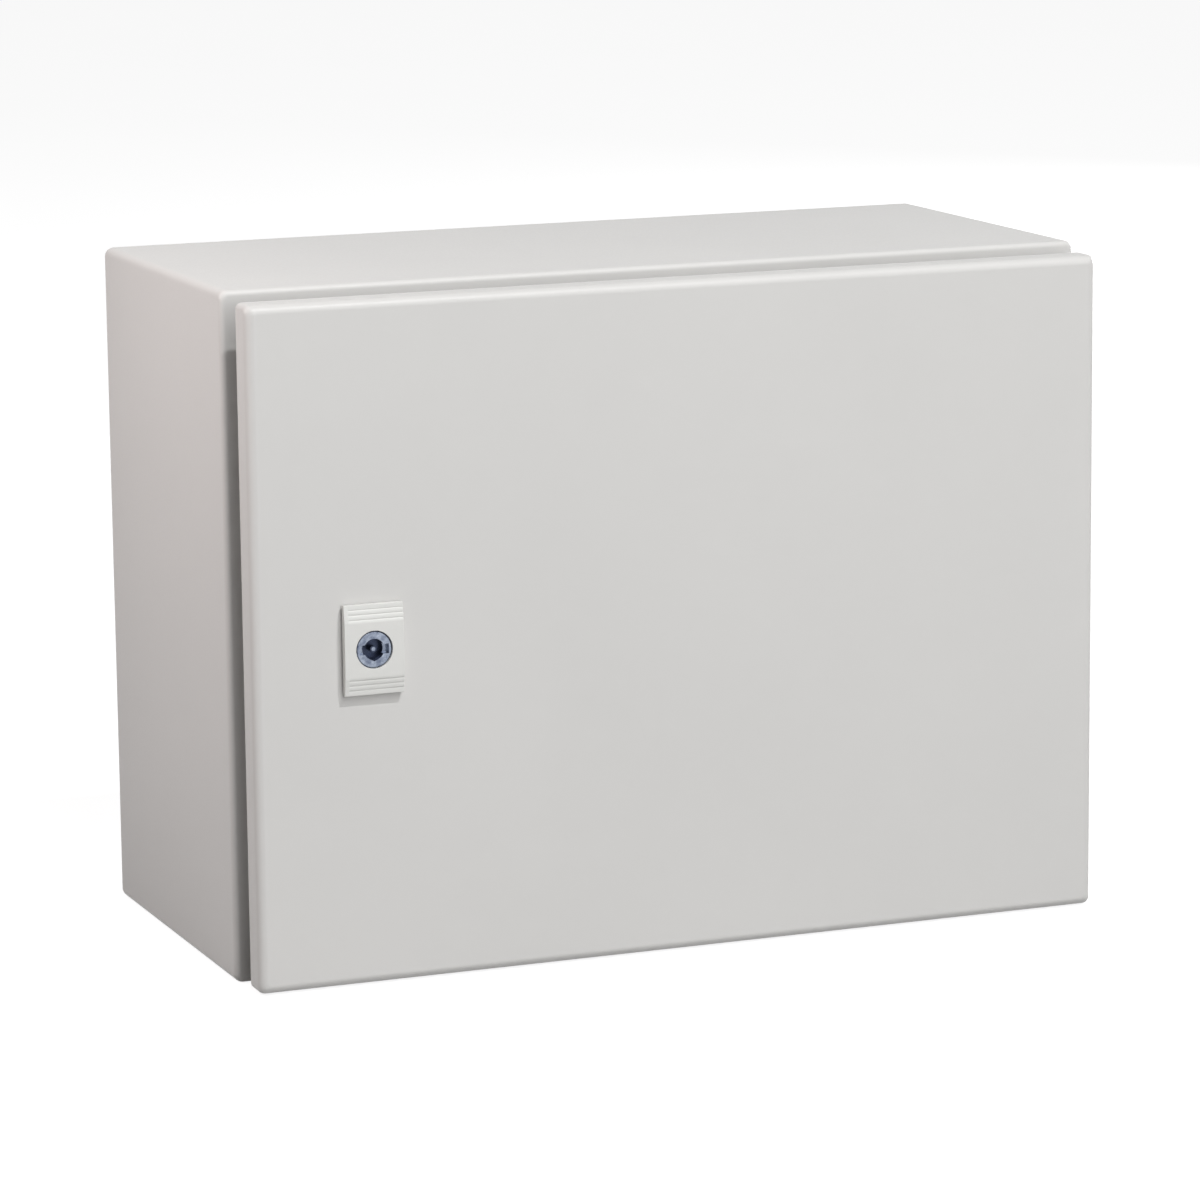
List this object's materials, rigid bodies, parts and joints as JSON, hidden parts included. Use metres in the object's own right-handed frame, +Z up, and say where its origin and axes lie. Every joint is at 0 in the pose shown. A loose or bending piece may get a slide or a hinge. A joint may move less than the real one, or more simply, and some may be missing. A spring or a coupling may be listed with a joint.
{
  "type": "steel wall enclosure",
  "caption": "Wall-mounted sheet-steel enclosure with a hinged front door, a quarter-turn lock and an inner mounting plate for electrical equipment.",
  "frame": {"origin": "wall plane, in the middle of the four wall-fixing holes", "axes": "+X to the right seen from the front, +Y towards the wall, +Z up; the door faces -Y"},
  "size_m": [0.4, 0.2042, 0.3],
  "materials": {
    "powder_coat": "fine textured powder coat, light grey",
    "zinc_plate": "zinc-plated sheet",
    "bright_steel": "bright zinc-plated fasteners",
    "foam_seal": "foamed polyurethane, matt",
    "black_rubber": "matt",
    "pale_plastic": "satin moulded polyamide",
    "die_cast": "nickel-plated zinc die-casting"
  },
  "bodies": {
    "enclosure": {"body_wrap": "powder_coat", "rear_panel": "powder_coat", "mounting_plate": "zinc_plate", "gland_plate": "zinc_plate", "upper_hinge_bracket": "zinc_plate", "lower_hinge_bracket": "zinc_plate", "plate_studs": "bright_steel", "plate_washers": "bright_steel", "plate_nuts": "bright_steel", "gland_studs": "bright_steel", "gland_nuts": "bright_steel", "body_earth_stud": "bright_steel", "body_earth_washer": "bright_steel", "body_earth_nut": "bright_steel", "upper_hinge_pin": "bright_steel", "lower_hinge_pin": "bright_steel", "gland_gasket": "foam_seal"},
    "door": {"door_panel": "powder_coat", "door_seal": "foam_seal", "upper_hinge_leaf": "zinc_plate", "lower_hinge_leaf": "zinc_plate", "leaf_studs": "bright_steel", "leaf_nuts": "bright_steel", "door_earth_stud": "bright_steel", "door_earth_washer": "bright_steel", "door_earth_nut": "bright_steel", "lock_escutcheon": "pale_plastic", "lock_gasket": "black_rubber", "lock_housing": "die_cast", "lock_nut": "bright_steel"},
    "lock_core": {"lock_insert": "die_cast", "lock_cam": "zinc_plate", "cam_washer": "bright_steel", "cam_screw": "bright_steel"}
  },
  "joints": [
    {"name": "door_hinge", "type": "hinge", "parent": "enclosure", "child": "door", "pos_m": [0.1915, -0.1925, 0], "axis": [0, 0, 1], "range_deg": [0, 130]},
    {"name": "lock_turn", "type": "hinge", "parent": "door", "child": "lock_core", "pos_m": [-0.1449, -0.2, -0.00225], "axis": [0, 1, 0], "range_deg": [0, 90]}
  ]
}
